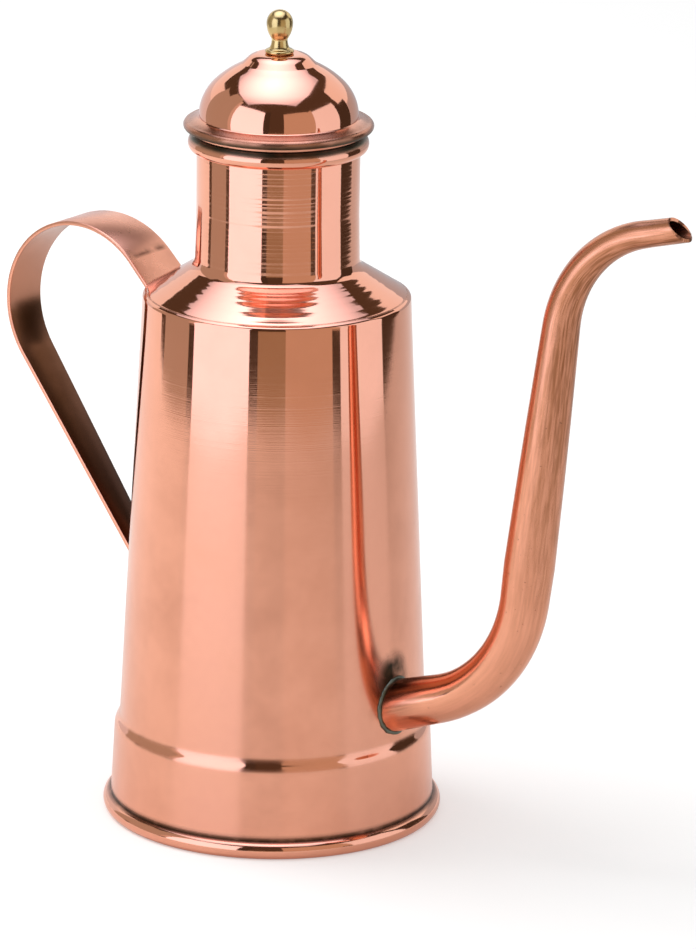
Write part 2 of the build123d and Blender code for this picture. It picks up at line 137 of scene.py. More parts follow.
wall_outside = rounded([
    (39.85, 164.85, 0),
    (wall_r(164.3), 164.3, 1.1),
    (wall_r(30.1), 30.1, swage_round),
    (band_top_r, band_top_z, swage_round),
    (band_foot_r, 5.25, 0),
], spacing=1.0)
wall_outside += arc(foot_x, foot_z, foot_roll_r, 77, -worn_turn)
wall_outside += [Vector((foot_x - foot_roll_r * math.cos(math.radians(worn_turn)), 0.02))]
wall_inside = rounded([
    (39.9, 164.8, 0),
    (wall_r(30.5) - sheet, 30.5, 4.0),
    (band_top_r - sheet, 27.4, 4.0),
    (band_foot_r - sheet, 5.3, 0),
])
wall_inside += arc(foot_x, foot_z, foot_roll_r, 104, 244)
body_wall = shell("body_wall_spun", wall_outside, wall_inside, steps=256)


def copper_group():
    """Spun and polished copper: lathe rings, faint stains and rubbed patches."""
    group = bpy.data.node_groups.new("spun copper", "ShaderNodeTree")
    face = group.interface
    for title, kind, value in (
        ("Clean", "NodeSocketColor", (0.92, 0.42, 0.28, 1)),
        ("Tarnish", "NodeSocketColor", (0.6, 0.25, 0.15, 1)),
        ("Tarnish Share", "NodeSocketFloat", 0.25),
        ("Ripples", "NodeSocketFloat", 1.0),
        ("Scratches", "NodeSocketFloat", 0.16),
        ("Polish", "NodeSocketFloat", 0.08),
    ):
        socket = face.new_socket(name=title, in_out="INPUT", socket_type=kind)
        socket.default_value = value
    face.new_socket(name="Color", in_out="OUTPUT", socket_type="NodeSocketColor")
    face.new_socket(name="Roughness", in_out="OUTPUT", socket_type="NodeSocketFloat")
    face.new_socket(name="Height", in_out="OUTPUT", socket_type="NodeSocketFloat")
    links = group.links
    enter = group.nodes.new("NodeGroupInput")
    leave = group.nodes.new("NodeGroupOutput")
    place = group.nodes.new("ShaderNodeTexCoord")
    split = group.nodes.new("ShaderNodeSeparateXYZ")
    links.new(place.outputs["Object"], split.inputs[0])
    # ripples left by the spinning tool, about 1 mm apart and the same all round the axis
    ripple = group.nodes.new("ShaderNodeTexNoise")
    ripple.noise_dimensions = "1D"
    ripple.inputs["Scale"].default_value = 950
    ripple.inputs["Detail"].default_value = 0.6
    links.new(split.outputs["Z"], ripple.inputs["W"])
    deep = group.nodes.new("ShaderNodeMath")
    deep.operation = "MULTIPLY"
    links.new(ripple.outputs["Fac"], deep.inputs[0])
    links.new(enter.outputs["Ripples"], deep.inputs[1])
    # the finer scratches of the polishing cloth, a few to the millimetre
    scratch = group.nodes.new("ShaderNodeTexNoise")
    scratch.noise_dimensions = "1D"
    scratch.inputs["Scale"].default_value = 3300
    scratch.inputs["Detail"].default_value = 1.5
    links.new(split.outputs["Z"], scratch.inputs["W"])
    both = group.nodes.new("ShaderNodeMath")
    both.operation = "MULTIPLY_ADD"
    links.new(enter.outputs["Scratches"], both.inputs[1])
    links.new(scratch.outputs["Fac"], both.inputs[0])
    links.new(deep.outputs[0], both.inputs[2])
    links.new(both.outputs[0], leave.inputs["Height"])
    # stains, broad and faint, with a few small flecks
    stain = group.nodes.new("ShaderNodeTexNoise")
    stain.inputs["Scale"].default_value = 55
    stain.inputs["Detail"].default_value = 9
    stain.inputs["Roughness"].default_value = 0.62
    links.new(place.outputs["Object"], stain.inputs["Vector"])
    spread = group.nodes.new("ShaderNodeMapRange")
    spread.inputs["From Min"].default_value = 0.4
    spread.inputs["From Max"].default_value = 0.8
    links.new(stain.outputs["Fac"], spread.inputs["Value"])
    share = group.nodes.new("ShaderNodeMath")
    share.operation = "MULTIPLY"
    links.new(spread.outputs["Result"], share.inputs[0])
    links.new(enter.outputs["Tarnish Share"], share.inputs[1])
    mix = group.nodes.new("ShaderNodeMix")
    mix.data_type = "RGBA"
    links.new(share.outputs[0], mix.inputs["Factor"])
    links.new(enter.outputs["Clean"], mix.inputs["A"])
    links.new(enter.outputs["Tarnish"], mix.inputs["B"])
    links.new(mix.outputs["Result"], leave.inputs["Color"])
    # polish: rubbed patches a little duller
    dull = group.nodes.new("ShaderNodeMapRange")
    dull.inputs["From Min"].default_value = 0.3
    dull.inputs["From Max"].default_value = 0.75
    dull.inputs["To Min"].default_value = 0.85
    dull.inputs["To Max"].default_value = 1.3
    links.new(stain.outputs["Fac"], dull.inputs["Value"])
    rough = group.nodes.new("ShaderNodeMath")
    rough.operation = "MULTIPLY"
    links.new(dull.outputs["Result"], rough.inputs[0])
    links.new(enter.outputs["Polish"], rough.inputs[1])
    links.new(rough.outputs[0], leave.inputs["Roughness"])
    return group


spun_copper = copper_group()


def copper(name, polish, tarnish=0.25, ripples=1.0, brushed=0.9):
    """A copper finish for one piece; brushed is how far its scratches run one way round."""
    finish = bpy.data.materials.new(name)
    finish.use_nodes = True
    tree = finish.node_tree
    shader = tree.nodes["Principled BSDF"]
    shader.inputs["Metallic"].default_value = 1.0
    effect = tree.nodes.new("ShaderNodeGroup")
    effect.name = "copper"
    effect.node_tree = spun_copper
    effect.inputs["Polish"].default_value = polish
    effect.inputs["Tarnish Share"].default_value = tarnish
    effect.inputs["Ripples"].default_value = ripples
    bump = tree.nodes.new("ShaderNodeBump")
    bump.name = "relief"
    bump.inputs["Strength"].default_value = 1.0
    bump.inputs["Distance"].default_value = 0.01 * MM
    tree.links.new(effect.outputs["Color"], shader.inputs["Base Color"])
    tree.links.new(effect.outputs["Roughness"], shader.inputs["Roughness"])
    tree.links.new(effect.outputs["Height"], bump.inputs["Height"])
    tree.links.new(bump.outputs["Normal"], shader.inputs["Normal"])
    if brushed:
        around = tree.nodes.new("ShaderNodeTangent")
        around.direction_type = "RADIAL"
        around.axis = "Z"
        tree.links.new(around.outputs[0], shader.inputs["Tangent"])
        shader.inputs["Anisotropic"].default_value = brushed
        shader.inputs["Anisotropic Rotation"].default_value = 0.25
    return finish


def by_height(finish, low, high, at_low, at_high):
    """A value that changes evenly between two heights, in mm."""
    tree = finish.node_tree
    place = tree.nodes.new("ShaderNodeTexCoord")
    split = tree.nodes.new("ShaderNodeSeparateXYZ")
    ramp = tree.nodes.new("ShaderNodeMapRange")
    ramp.interpolation_type = "SMOOTHSTEP"
    ramp.inputs["From Min"].default_value = low * MM
    ramp.inputs["From Max"].default_value = high * MM
    ramp.inputs["To Min"].default_value = at_low
    ramp.inputs["To Max"].default_value = at_high
    tree.links.new(place.outputs["Object"], split.inputs[0])
    tree.links.new(split.outputs["Z"], ramp.inputs["Value"])
    return ramp.outputs["Result"]


def times(finish, first, second):
    """The product of two values of a finish."""
    product = finish.node_tree.nodes.new("ShaderNodeMath")
    product.operation = "MULTIPLY"
    finish.node_tree.links.new(first, product.inputs[0])
    finish.node_tree.links.new(second, product.inputs[1])
    return product.outputs[0]


def speckle(finish, grain, low, high, at_low=0.0, at_high=1.0):
    """A value that comes and goes over the surface; grain is in spots to the metre."""
    tree = finish.node_tree
    place = tree.nodes.new("ShaderNodeTexCoord")
    noise = tree.nodes.new("ShaderNodeTexNoise")
    noise.inputs["Scale"].default_value = grain
    noise.inputs["Detail"].default_value = 6
    ramp = tree.nodes.new("ShaderNodeMapRange")
    ramp.inputs["From Min"].default_value = low
    ramp.inputs["From Max"].default_value = high
    ramp.inputs["To Min"].default_value = at_low
    ramp.inputs["To Max"].default_value = at_high
    tree.links.new(place.outputs["Object"], noise.inputs["Vector"])
    tree.links.new(noise.outputs["Fac"], ramp.inputs["Value"])
    return ramp.outputs["Result"]


def lay_dirt_and_painted_light(finish, mask, color, roughness):
    """Lays dirt, patina, painted shade or a painted reflection over a finish where the mask is 1."""
    tree = finish.node_tree
    shader = tree.nodes["Principled BSDF"]
    for title, value in (("Base Color", (*color, 1)), ("Roughness", roughness)):
        socket = shader.inputs[title]
        below = socket.links[0].from_socket
        mix = tree.nodes.new("ShaderNodeMix")
        first = 6 if title == "Base Color" else 2
        mix.data_type = "RGBA" if title == "Base Color" else "FLOAT"
        tree.links.new(mask, mix.inputs["Factor"])
        tree.links.new(below, mix.inputs[first])
        mix.inputs[first + 1].default_value = value
        tree.links.new(mix.outputs[2 if title == "Base Color" else 0], socket)


def dress(piece, finish, body, slot, *replaced):
    """Gives a new piece its finish, its body and the CAD nodes that it stands for."""
    piece.data.materials.clear()
    piece.data.materials.append(finish)
    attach(piece, body)
    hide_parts(*replaced)


def repaint(node, finish):
    """Gives a CAD node that stays a better finish."""
    nodes[node].data.materials.clear()
    nodes[node].data.materials.append(finish)


wall_copper = copper("wall copper", 0.1, tarnish=0.22, ripples=0.16)
effect = wall_copper.node_tree.nodes["copper"]
effect.inputs["Scratches"].default_value = 0.3


def along_height(finish, stops):
    """A value that follows stops of height, in mm, and value."""
    tree = finish.node_tree
    low = stops[0][0]
    high = stops[-1][0]
    share = by_height(finish, low, high, 0, 1)
    share.node.interpolation_type = "LINEAR"
    ramp = tree.nodes.new("ShaderNodeValToRGB")
    points = ramp.color_ramp.elements
    points[1].position = 1
    points[1].color = (*[stops[-1][1]] * 3, 1)
    points[0].color = (*[stops[0][1]] * 3, 1)
    for height, value in stops[1:-1]:
        point = points.new((height - low) / (high - low))
        point.color = (value, value, value, 1)
    tree.links.new(share, ramp.inputs["Fac"])
    return ramp.outputs["Color"]


# rubbed bright on the roll, the swage and the top, satin on the band and the lower wall
worn = along_height(wall_copper, [
    (0, 0.08), (5.0, 0.08), (6.0, 0.2), (27.85, 0.2), (28.1, 0.06), (29.6, 0.06), (29.85, 0.2),
    (70, 0.2), (112, 0.13), (130, 0.07), (145, 0.05), (166, 0.05),
])
wall_copper.node_tree.links.new(worn, effect.inputs["Polish"])
# painted shade: a dark line in the crevice between the band and the foot roll
painted_crevice_shade = times(
    wall_copper,
    along_height(wall_copper, [(0, 0), (4.9, 0), (5.1, 1), (5.8, 1), (6.9, 0), (170, 0)]),
    speckle(wall_copper, 200, 0.25, 0.5, 0.75, 1),
)
lay_dirt_and_painted_light(wall_copper, painted_crevice_shade, (0.055, 0.024, 0.01), 0.35)


def round_spot(finish, centre, reach):
    """A value that is 1 at a place, in mm, and fades to 0 at a distance."""
    tree = finish.node_tree
    place = tree.nodes.new("ShaderNodeTexCoord")
    away = tree.nodes.new("ShaderNodeVectorMath")
    away.operation = "DISTANCE"
    away.inputs[1].default_value = [part * MM for part in centre]
    ramp = tree.nodes.new("ShaderNodeMapRange")
    ramp.interpolation_type = "SMOOTHSTEP"
    ramp.inputs["From Min"].default_value = 0.35 * reach * MM
    ramp.inputs["From Max"].default_value = reach * MM
    ramp.inputs["To Min"].default_value = 1
    ramp.inputs["To Max"].default_value = 0
    tree.links.new(place.outputs["Object"], away.inputs[0])
    tree.links.new(away.outputs["Value"], ramp.inputs["Value"])
    return ramp.outputs["Result"]


# where the spout was sweated on, the torch has left soot above it and flux stains about it
soot = times(
    wall_copper,
    round_spot(wall_copper, (46.4, -1.5, 51.5), 9.5),
    speckle(wall_copper, 170, 0.3, 0.55, 0.35, 1),
)
lay_dirt_and_painted_light(wall_copper, soot, (0.03, 0.025, 0.014), 0.45)
flux = times(
    wall_copper,
    round_spot(wall_copper, (46.5, -1, 44), 15),
    speckle(wall_copper, 200, 0.4, 0.75, 0, 0.55),
)
lay_dirt_and_painted_light(wall_copper, flux, (0.32, 0.15, 0.07), 0.35)
dress(body_wall, wall_copper, "can", "copper_wall", "body_wall")

# Bottom: a copper pan pressed into the band, dull inside and out, held by a run of soft solder.
# The wires in the foot and the mouth are plain iron, out of sight in their rolls. The solder
# under the handle's two tabs is the same as the bottom's.
dull_copper = copper("bottom copper", 0.3, tarnish=0.8, brushed=0)
repaint("bottom_disc", dull_copper)


def metal(name, color, roughness, grain, depth):
    """A plain metal with a fine grain: solder, iron or steel."""
    finish = bpy.data.materials.new(name)
    finish.use_nodes = True
    tree = finish.node_tree
    shader = tree.nodes["Principled BSDF"]
    shader.inputs["Metallic"].default_value = 1.0
    place = tree.nodes.new("ShaderNodeTexCoord")
    noise = tree.nodes.new("ShaderNodeTexNoise")
    noise.inputs["Scale"].default_value = grain
    noise.inputs["Detail"].default_value = 5
    tree.links.new(place.outputs["Object"], noise.inputs["Vector"])
    ramp = tree.nodes.new("ShaderNodeMix")
    ramp.data_type = "RGBA"
    ramp.inputs["A"].default_value = (*[0.55 * part for part in color], 1)
    ramp.inputs["B"].default_value = (*[min(1, 1.4 * part) for part in color], 1)
    tree.links.new(noise.outputs["Fac"], ramp.inputs["Factor"])
    tree.links.new(ramp.outputs["Result"], shader.inputs["Base Color"])
    worn = tree.nodes.new("ShaderNodeMapRange")
    worn.inputs["To Min"].default_value = 0.7 * roughness
    worn.inputs["To Max"].default_value = 1.4 * roughness
    tree.links.new(noise.outputs["Fac"], worn.inputs["Value"])
    tree.links.new(worn.outputs["Result"], shader.inputs["Roughness"])
    bump = tree.nodes.new("ShaderNodeBump")
    bump.inputs["Distance"].default_value = depth * MM
    tree.links.new(noise.outputs["Fac"], bump.inputs["Height"])
    tree.links.new(bump.outputs["Normal"], shader.inputs["Normal"])
    return finish


solder = metal("soft solder", (0.16, 0.17, 0.13), 0.35, 500, 0.12)
iron = metal("iron wire", (0.3, 0.27, 0.24), 0.45, 1200, 0.03)
for node in ("bottom_solder", "handle_top_solder", "handle_foot_solder"):
    repaint(node, solder)
for node in ("foot_wire", "mouth_wire"):
    repaint(node, iron)

# Shoulder and neck: one spinning, lapped inside the wall and soldered at the fold. The mouth is
# rolled round a wire. The spinning tool has left fine rings that break up every reflection.
mouth_x = 24.85
mouth_z = 211.8
mouth_roll_r = 2.6
lap_z = 159.0
neck_outside = rounded([
    (40.08, lap_z, 0),
    (39.81, 164.9, 1.2),
    (25.1, 174.0, 3.6),
    (24.75, 190, 0),
    (24.8, 209.25, 0),
], spacing=0.8)
neck_outside += arc(mouth_x, mouth_z, mouth_roll_r, -92, 90)
neck_inside = rounded([
    (39.08, lap_z, 0),
    (38.82, 164.3, 0.3),
    (24.15, 173.4, 4.4),
    (23.8, 209.3, 0),
], spacing=2)
neck_inside += arc(mouth_x, mouth_z, mouth_roll_r, 246, 94)
shoulder_neck = shell("shoulder_neck_spun", neck_outside, neck_inside, steps=224)
neck_copper = copper("neck copper", 0.06, tarnish=0.15)
effect = neck_copper.node_tree.nodes["copper"]
rings = by_height(neck_copper, 171, 178, 5.0, 1.8)
neck_copper.node_tree.links.new(rings, effect.inputs["Ripples"])
verdigris = times(
    neck_copper,
    by_height(neck_copper, 212.4, 213.9, 0, 1),
    speckle(neck_copper, 120, 0.3, 0.55, 0.75, 1),
)
lay_dirt_and_painted_light(neck_copper, verdigris, (0.11, 0.1, 0.065), 0.45)
crease = times(
    neck_copper,
    by_height(neck_copper, fold_z, 164.6, 0, 1),
    by_height(neck_copper, 164.75, 165.0, 0.6, 0),
)
lay_dirt_and_painted_light(neck_copper, crease, (0.08, 0.035, 0.02), 0.4)
dress(shoulder_neck, neck_copper, "can", "copper_neck", "shoulder_neck")

# Fold: a thin run of soft solder closes the joint between the wall's rim and the shoulder. It is
# scraped flush and has taken the colour of the copper.
fold_run = [Vector(corner) for corner in (
    (39.86, 164.3),
    (39.9, 164.83),
    (39.45, 165.08),
    (39.4, 164.3),
    (39.86, 164.3),
)]
fold_solder = spun("fold_solder_run", fold_run, steps=224)
fold_metal = metal("fold solder", (0.66, 0.3, 0.19), 0.25, 400, 0.03)
dress(fold_solder, fold_metal, "can", "solder", "shoulder_solder")

# Spout: a tapered tube of drawn copper, filled and bent round a former, then cut slanting at the
# lip. It stands in a hole in the wall, and the oil runs straight into it.
spout_low_x = 89.5
spout_rise = math.radians(19)
spout_lean = math.radians(83)
spout_lip_rise = math.radians(15)
spout_root_z = 41.9
spout_high_z = 197.5
spout_lip_x = 143.9
spout_root = Vector((wall_r(spout_root_z), 0, spout_root_z))
spout_low_z = spout_root_z + (spout_low_x - spout_root.x) * math.tan(spout_rise)
spout_low = Vector((spout_low_x, 0, spout_low_z))
spout_high_x = spout_low.x + (spout_high_z - spout_low.z) / math.tan(spout_lean)
spout_high = Vector((spout_high_x, 0, spout_high_z))
spout_lip_z = spout_high_z + (spout_lip_x - spout_high.x) * math.tan(spout_lip_rise)
spout_lip = Vector((spout_lip_x, 0, spout_lip_z))


def bent(points, radii, step):
    """Stations (place, heading in degrees) along straight runs joined by bends, in mm."""
    stations = []
    place = points[0].copy()
    for index, (start, end) in enumerate(zip(points, points[1:])):
        way = (end - start).normalized()
        heading = math.atan2(way.z, way.x)
        last = index == len(points) - 2
        if not last:
            onward = (points[index + 2] - end).normalized()
            turn = math.atan2(onward.z, onward.x) - heading
            reach = radii[index] * math.tan(abs(turn) / 2)
        stop = end if last else end - way * reach
        count = max(1, math.ceil((stop - place).length / step))
        for i in range(count):
            stations.append((place.lerp(stop, i / count), heading))
        place = stop.copy()
        if last:
            stations.append((place, heading))
            break
        side = 1 if turn > 0 else -1
        centre = place + Vector((-way.z, 0, way.x)) * side * radii[index]
        count = max(2, math.ceil(abs(turn) * radii[index] / step))
        arm = place - centre
        for i in range(count):
            angle = turn * i / count
            spot = centre + Vector((
                arm.x * math.cos(angle) - arm.z * math.sin(angle),
                0,
                arm.x * math.sin(angle) + arm.z * math.cos(angle),
            ))
            stations.append((spot, heading + angle))
        place = end + onward * reach
    return stations


def taper(table, at):
    """Value at a distance, on straight lines between the entries (distance, value) of a table."""
    if at <= table[0][0]:
        return table[0][1]
    for (low, a), (high, b) in zip(table, table[1:]):
        if at <= high:
            share = (at - low) / (high - low)
            return a + (b - a) * share
    return table[-1][1]


def tube(name, stations, radius_at, sides=72):
    """An open tube drawn ring by ring along stations, each ring moved, turned and sized."""
    bpy.ops.object.select_all(action="DESELECT")
    place, heading = stations[0]
    radius = radius_at(0)
    bpy.ops.mesh.primitive_circle_add(
        vertices=sides, radius=radius * MM, location=place * MM, rotation=(0, math.pi / 2 - heading, 0)
    )
    piece = bpy.context.object
    piece.name = name
    bpy.ops.object.transform_apply(location=True, rotation=True)
    bpy.ops.object.mode_set(mode="EDIT")
    bpy.ops.mesh.select_all(action="SELECT")
    travelled = 0
    for (here, before), (there, after) in zip(stations, stations[1:]):
        move = (there - here) * MM
        travelled += (there - here).length
        bpy.ops.mesh.extrude_region_move(TRANSFORM_OT_translate={"value": move})
        bpy.ops.transform.rotate(
            value=after - before, orient_axis="Y", orient_type="GLOBAL", center_override=there * MM
        )
        size = radius_at(travelled) / radius
        radius = radius_at(travelled)
        bpy.ops.transform.resize(value=(size, size, size), center_override=there * MM)
    bpy.ops.object.mode_set(mode="OBJECT")
    return piece


spout_start = spout_root - Vector((math.cos(spout_rise), 0, math.sin(spout_rise))) * 1.2
spout_end = spout_lip + Vector((math.cos(spout_lip_rise), 0, math.sin(spout_lip_rise))) * 6
spout_bends = [46, 38.3]
spout_step = 1.6
spout_line = bent([spout_start, spout_low, spout_high, spout_end], spout_bends, spout_step)
spout_width = [
    (0, 16.0), (15, 15.1), (27, 14.6), (68, 14.9), (80, 15.4), (108, 14.2), (125, 13.3),
    (152, 11.6), (171, 10.2), (190, 8.9), (205, 8.0), (230, 7.6),
]
spout = tube("spout_drawn", spout_line, lambda at: taper(spout_width, at) / 2)
lip_cut = math.radians(42)
bpy.ops.object.mode_set(mode="EDIT")
bpy.ops.mesh.select_all(action="SELECT")
bpy.ops.mesh.bisect(
    plane_co=spout_lip * MM, plane_no=(math.sin(lip_cut), 0, math.cos(lip_cut)), clear_outer=True
)
bpy.ops.mesh.select_all(action="SELECT")
bpy.ops.mesh.normals_make_consistent(inside=False)
bpy.ops.object.mode_set(mode="OBJECT")
drawn_sheet = spout.modifiers.new("sheet", "SOLIDIFY")
drawn_sheet.thickness = sheet * MM
drawn_sheet.offset = -1
drawn_sheet.use_even_offset = True
bpy.ops.object.modifier_apply(modifier=drawn_sheet.name)
bpy.ops.object.shade_smooth_by_angle(angle=math.radians(40))

# the draw marks run along the tube, so each point carries where it lies round and along it
streak_length = 90
marks = spout.data.attributes.new("drawn", "FLOAT_VECTOR", "POINT")
for point in spout.data.vertices:
    here = point.co / MM
    nearest = min(range(len(spout_line)), key=lambda i: (spout_line[i][0] - here).length_squared)
    centre, heading = spout_line[nearest]
    arm = here - centre
    upward = arm.dot(Vector((-math.sin(heading), 0, math.cos(heading))))
    turn = math.atan2(arm.y, upward)
    marks.data[point.index].vector = (math.cos(turn), math.sin(turn), nearest * spout_step / streak_length)


def drawn_marks(finish, grain, low, high, at_low=0.0, at_high=1.0):
    """A value that comes and goes in streaks along a drawn piece."""
    tree = finish.node_tree
    place = tree.nodes.new("ShaderNodeAttribute")
    place.attribute_name = "drawn"
    noise = tree.nodes.new("ShaderNodeTexNoise")
    noise.inputs["Scale"].default_value = grain
    noise.inputs["Detail"].default_value = 4
    ramp = tree.nodes.new("ShaderNodeMapRange")
    ramp.inputs["From Min"].default_value = low
    ramp.inputs["From Max"].default_value = high
    ramp.inputs["To Min"].default_value = at_low
    ramp.inputs["To Max"].default_value = at_high
    tree.links.new(place.outputs["Vector"], noise.inputs["Vector"])
    tree.links.new(noise.outputs["Fac"], ramp.inputs["Value"])
    return ramp.outputs["Result"]


def painted_shade_side(finish):
    """More on the side of the tube that faces away from the can: painted shade on its shadow side."""
    tree = finish.node_tree
    place = tree.nodes.new("ShaderNodeAttribute")
    place.attribute_name = "drawn"
    split = tree.nodes.new("ShaderNodeSeparateXYZ")
    ramp = tree.nodes.new("ShaderNodeMapRange")
    ramp.inputs["From Min"].default_value = 0.15
    ramp.inputs["From Max"].default_value = -0.8
    ramp.inputs["To Min"].default_value = 0.12
    tree.links.new(place.outputs["Vector"], split.inputs[0])
    tree.links.new(split.outputs["X"], ramp.inputs["Value"])
    return ramp.outputs["Result"]


spout_copper = copper("spout copper", 0.2, tarnish=0.3, ripples=0, brushed=0)
effect = spout_copper.node_tree.nodes["copper"]
effect.inputs["Scratches"].default_value = 0
effect.inputs["Clean"].default_value = (0.99, 0.44, 0.28, 1)
rubbed = along_height(spout_copper, [(0, 0.08), (48, 0.08), (75, 0.2), (215, 0.2)])
spout_copper.node_tree.links.new(rubbed, effect.inputs["Polish"])
streaks = times(
    spout_copper,
    along_height(spout_copper, [(0, 0.25), (45, 0.25), (90, 0.4), (140, 0.75), (215, 1)]),
    drawn_marks(spout_copper, 4.5, 0.36, 0.64, 0.25, 1),
)
lay_dirt_and_painted_light(spout_copper, streaks, (0.62, 0.25, 0.125), 0.28)
# partly brown tarnish in streaks, more towards the tip, partly painted shade on the far side of the tube
tarnish_and_painted_shade = times(
    spout_copper,
    along_height(spout_copper, [(0, 0), (60, 0.08), (120, 0.5), (180, 0.9), (215, 1)]),
    times(spout_copper, painted_shade_side(spout_copper), drawn_marks(spout_copper, 9, 0.4, 0.62, 0.35, 1)),
)
lay_dirt_and_painted_light(spout_copper, tarnish_and_painted_shade, (0.27, 0.1, 0.04), 0.36)
singed = times(
    spout_copper,
    round_spot(spout_copper, (49, 0, 50), 16),
    drawn_marks(spout_copper, 7, 0.35, 0.6, 0.5, 1),
)
lay_dirt_and_painted_light(spout_copper, singed, (0.2, 0.06, 0.03), 0.25)
pits = times(
    spout_copper,
    speckle(spout_copper, 900, 0.68, 0.73, 0, 0.8),
    speckle(spout_copper, 60, 0.45, 0.6),
)
lay_dirt_and_painted_light(spout_copper, pits, (0.2, 0.09, 0.05), 0.45)
relief = spout_copper.node_tree.nodes["relief"]
spout_copper.node_tree.links.new(drawn_marks(spout_copper, 14, 0.2, 0.8), relief.inputs["Height"])
dress(spout, spout_copper, "can", "copper_spout", "spout_tube")

# Spout joint: the spout is sweated to the wall with a thin run of soft solder, laid by hand all
# round it, so it is a little lumpy. It has gone grey-green.
run_r = 8.15
run_thick = 0.75
bpy.ops.object.select_all(action="DESELECT")
bpy.ops.mesh.primitive_circle_add(
    vertices=120,
    radius=run_r * MM,
    location=(spout_root + (spout_root - spout_start).normalized() * 20) * MM,
    rotation=(0, math.pi / 2 - spout_rise, 0),
)
solder_run = bpy.context.object
solder_run.name = "spout_solder_run"
against = solder_run.modifiers.new("against the wall", "SHRINKWRAP")
against.wrap_method = "PROJECT"
against.use_project_z = True
against.use_negative_direction = True
against.use_positive_direction = True
against.target = body_wall
bpy.ops.object.modifier_apply(modifier=against.name)
bpy.ops.object.convert(target="CURVE")
solder_run.data.bevel_depth = run_thick * MM
solder_run.data.bevel_resolution = 4
bpy.ops.object.convert(target="MESH")
bpy.ops.object.transform_apply(location=True, rotation=True, scale=True)
lumps = bpy.data.textures.new("solder lumps", "CLOUDS")
lumps.noise_scale = 2.6 * MM
swell = solder_run.modifiers.new("lumps", "DISPLACE")
swell.texture = lumps
swell.texture_coords = "LOCAL"
swell.strength = 0.7 * MM
swell.mid_level = 0.6
bpy.ops.object.modifier_apply(modifier=swell.name)
bpy.ops.object.shade_smooth()
dress(solder_run, solder, "can", "solder", "spout_solder")

# Handle: a tapering strap of thicker copper, bent to a loop, its ends turned down on the wall
# and sweated on. The outside is polished; the inside of the loop carries a painted reflection,
# brown, and darker towards the foot.
strap_sheet = 1.3
loop = Vector((-69.3, 0, 147.8))
loop_r = 29.6 - strap_sheet / 2
loop_steps = 90
strap_top_slope = math.radians(46)
strap_foot_slope = math.radians(54.5)
tab_bend = 2.2
top_tab = 8
foot_tab = 11


def strap_stations(step):
    """Stations down the strap, from its upper tab over the loop to its lower tab."""
    rise = math.pi / 2 - strap_top_slope
    fall = 1.5 * math.pi - strap_foot_slope
    top_touch = loop + Vector((math.cos(rise), 0, math.sin(rise))) * loop_r
    foot_touch = loop + Vector((math.cos(fall), 0, math.sin(fall))) * loop_r
    top_way = Vector((math.sin(rise), 0, -math.cos(rise)))
    foot_way = Vector((-math.sin(fall), 0, math.cos(fall)))
    half = strap_sheet / 2
    lean = math.atan(wall_taper)
    down = Vector((-math.sin(lean), 0, -math.cos(lean)))

    def wall_hit(point, way):
        reach = (-(wall_r(point.z) + half) - point.x) / (way.x - wall_taper * way.z)
        return point + way * reach

    top_hit = wall_hit(top_touch, top_way)
    foot_hit = wall_hit(foot_touch, foot_way)
    high = bent([top_hit + down * top_tab, top_hit, top_touch.lerp(top_hit, 0.3)], [tab_bend], step)
    around = [
        (loop + Vector((math.cos(a), 0, math.sin(a))) * loop_r, a + math.pi / 2)
        for a in [rise + (fall - rise) * i / loop_steps for i in range(loop_steps + 1)]
    ]
    low = bent([foot_touch.lerp(foot_hit, 0.3), foot_hit, foot_hit + down * foot_tab], [tab_bend], step)
    return high + around + low


def ribbon(name, stations, widths, thick):
    """A closed strap: a bar's section with rounded edges, carried along stations."""
    total = sum((b[0] - a[0]).length for a, b in zip(stations, stations[1:]))
    bpy.ops.object.select_all(action="DESELECT")
    place, heading = stations[0]
    bpy.ops.mesh.primitive_plane_add(size=1, location=(0, 0, 0))
    piece = bpy.context.object
    piece.name = name
    piece.scale = (thick * MM, widths[0] * MM, 1)
    bpy.ops.object.transform_apply(scale=True)
    bpy.ops.object.mode_set(mode="EDIT")
    bpy.ops.mesh.select_all(action="SELECT")
    bpy.ops.mesh.bevel(offset=0.42 * MM, segments=4, affect="VERTICES")
    bpy.ops.mesh.select_all(action="SELECT")
    bpy.ops.object.mode_set(mode="OBJECT")
    piece.location = place * MM
    piece.rotation_euler = (0, math.pi / 2 - heading, 0)
    bpy.ops.object.transform_apply(location=True, rotation=True)
    bpy.ops.object.mode_set(mode="EDIT")
    bpy.ops.mesh.select_all(action="SELECT")
    travelled = 0
    width = widths[0]
    for (here, before), (there, after) in zip(stations, stations[1:]):
        travelled += (there - here).length
        turn = (after - before + math.pi) % math.tau - math.pi
        bpy.ops.mesh.extrude_region_move(TRANSFORM_OT_translate={"value": (there - here) * MM})
        bpy.ops.transform.rotate(
            value=turn, orient_axis="Y", orient_type="GLOBAL", center_override=there * MM
        )
        wider = (widths[0] + (widths[1] - widths[0]) * travelled / total) / width
        width *= wider
        bpy.ops.transform.resize(value=(1, wider, 1), center_override=there * MM)
    bpy.ops.mesh.select_all(action="SELECT")
    bpy.ops.mesh.normals_make_consistent(inside=False)
    bpy.ops.object.mode_set(mode="OBJECT")
    bpy.ops.object.shade_smooth_by_angle(angle=math.radians(40))
    return piece


handle = ribbon("handle_strap_bent", strap_stations(0.8), (20.8, 9.4), strap_sheet)
strap_copper = copper("strap copper", 0.26, tarnish=0.45, ripples=0.1, brushed=0)
